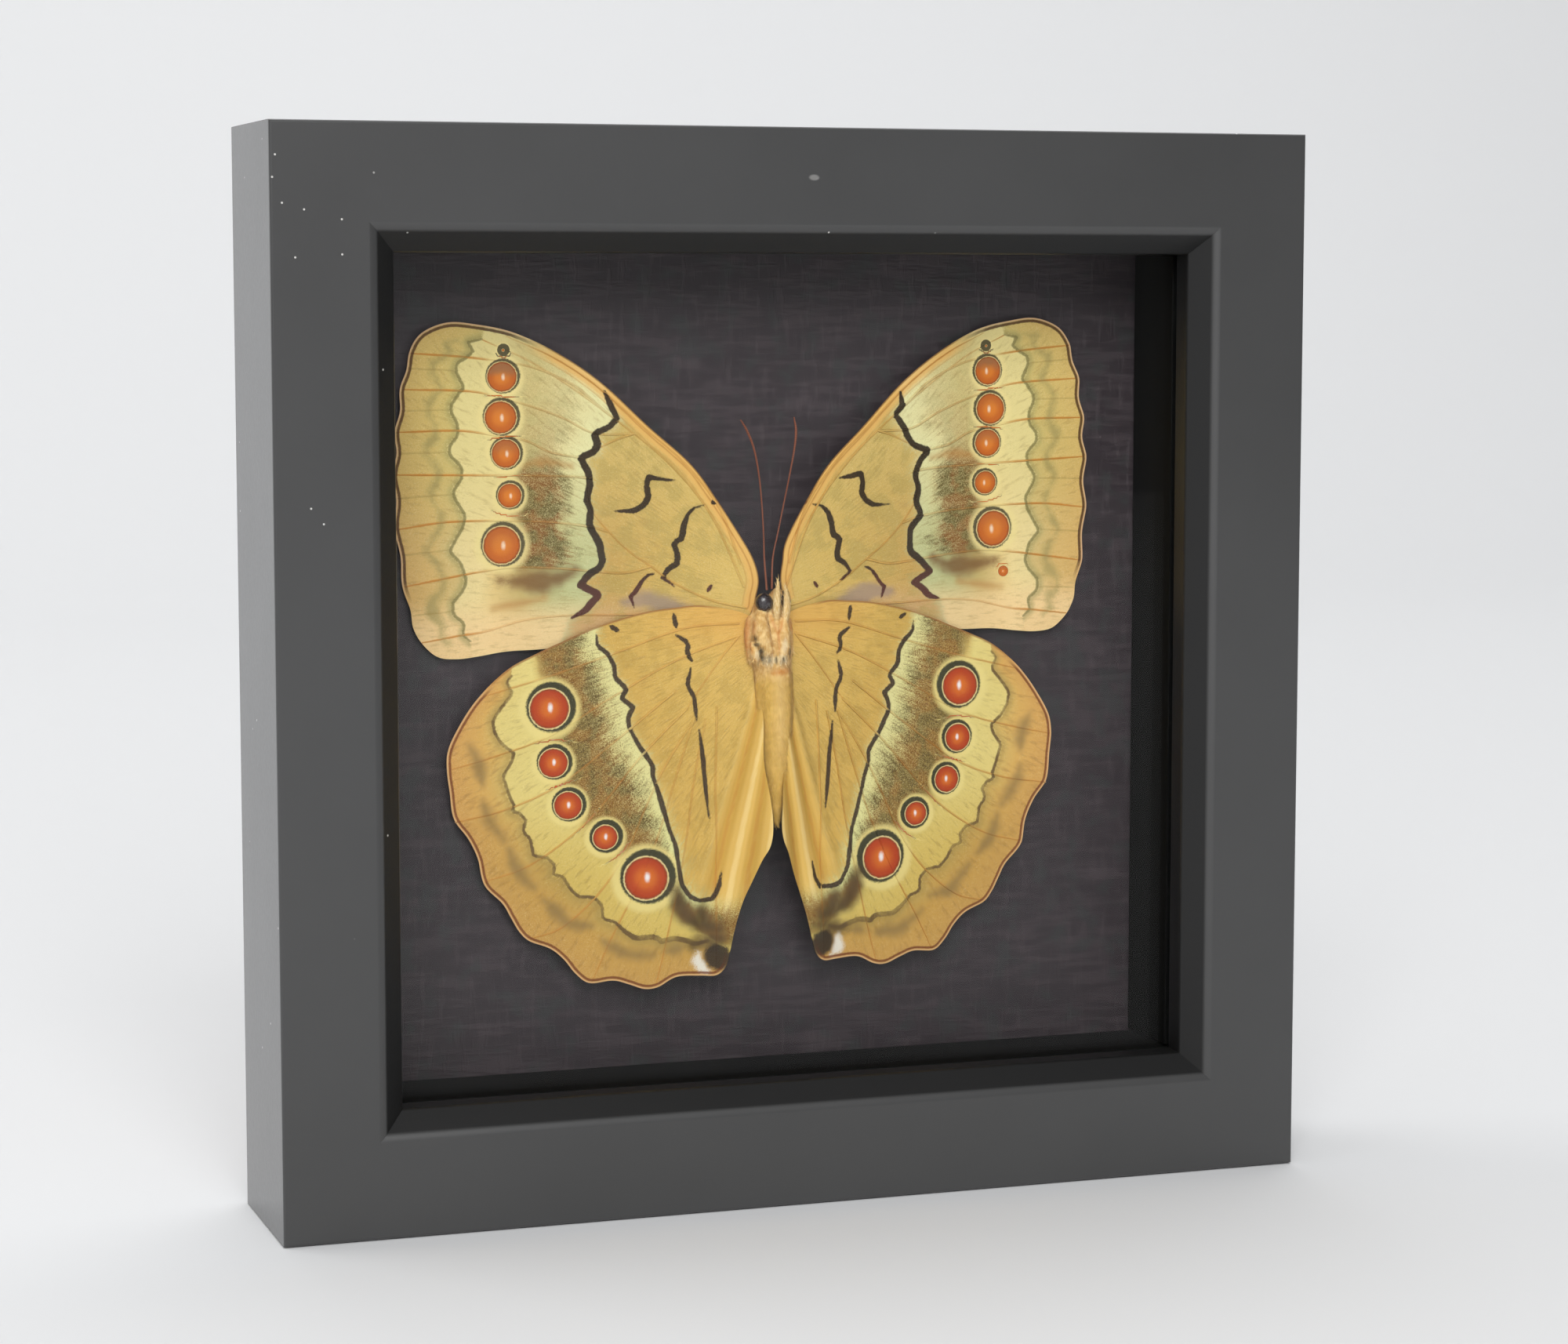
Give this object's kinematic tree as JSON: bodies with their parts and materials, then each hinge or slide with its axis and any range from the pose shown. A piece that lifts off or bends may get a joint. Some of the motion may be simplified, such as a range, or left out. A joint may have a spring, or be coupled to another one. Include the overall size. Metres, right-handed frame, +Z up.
{
  "type": "framed butterfly specimen",
  "caption": "Deep square black box frame with a glass front, holding a set butterfly shown from its underside, wings spread, on black textured card.",
  "frame": {"origin": "middle of the frame's footprint, on the surface it stands on", "axes": "+Z up along the butterfly's body towards its head, -Y out through the glass towards the viewer, +X to the viewer's right"},
  "size_m": [0.18, 0.034, 0.18],
  "materials": {
    "black_paint": "wood painted satin black",
    "glass": "clear polished",
    "black_card": "matt, fine laid texture",
    "pad": "matt black board",
    "brown_board": "raw hardboard",
    "steel": "plain",
    "wing": "matt scaled membrane, patterned",
    "insect_body": "dry, furred",
    "antenna": "satin, reddish brown"
  },
  "bodies": {
    "root": {"rail_bottom": "black_paint", "rail_left": "black_paint", "rail_top": "black_paint", "rail_right": "black_paint", "glass_pane": "glass", "spacer_top": "black_card", "spacer_bottom": "black_card", "spacer_left": "black_card", "spacer_right": "black_card", "backing_card": "black_card", "mount_pad": "pad", "back_panel": "brown_board", "glazing_point_bottom_1": "steel", "glazing_point_bottom_2": "steel", "glazing_point_left_1": "steel", "glazing_point_left_2": "steel", "glazing_point_top_1": "steel", "glazing_point_top_2": "steel", "glazing_point_right_1": "steel", "glazing_point_right_2": "steel", "forewing_left": "wing", "forewing_right": "wing", "hindwing_left": "wing", "hindwing_right": "wing", "body": "insect_body", "antenna_left": "antenna", "antenna_right": "antenna"}
  },
  "joints": []
}
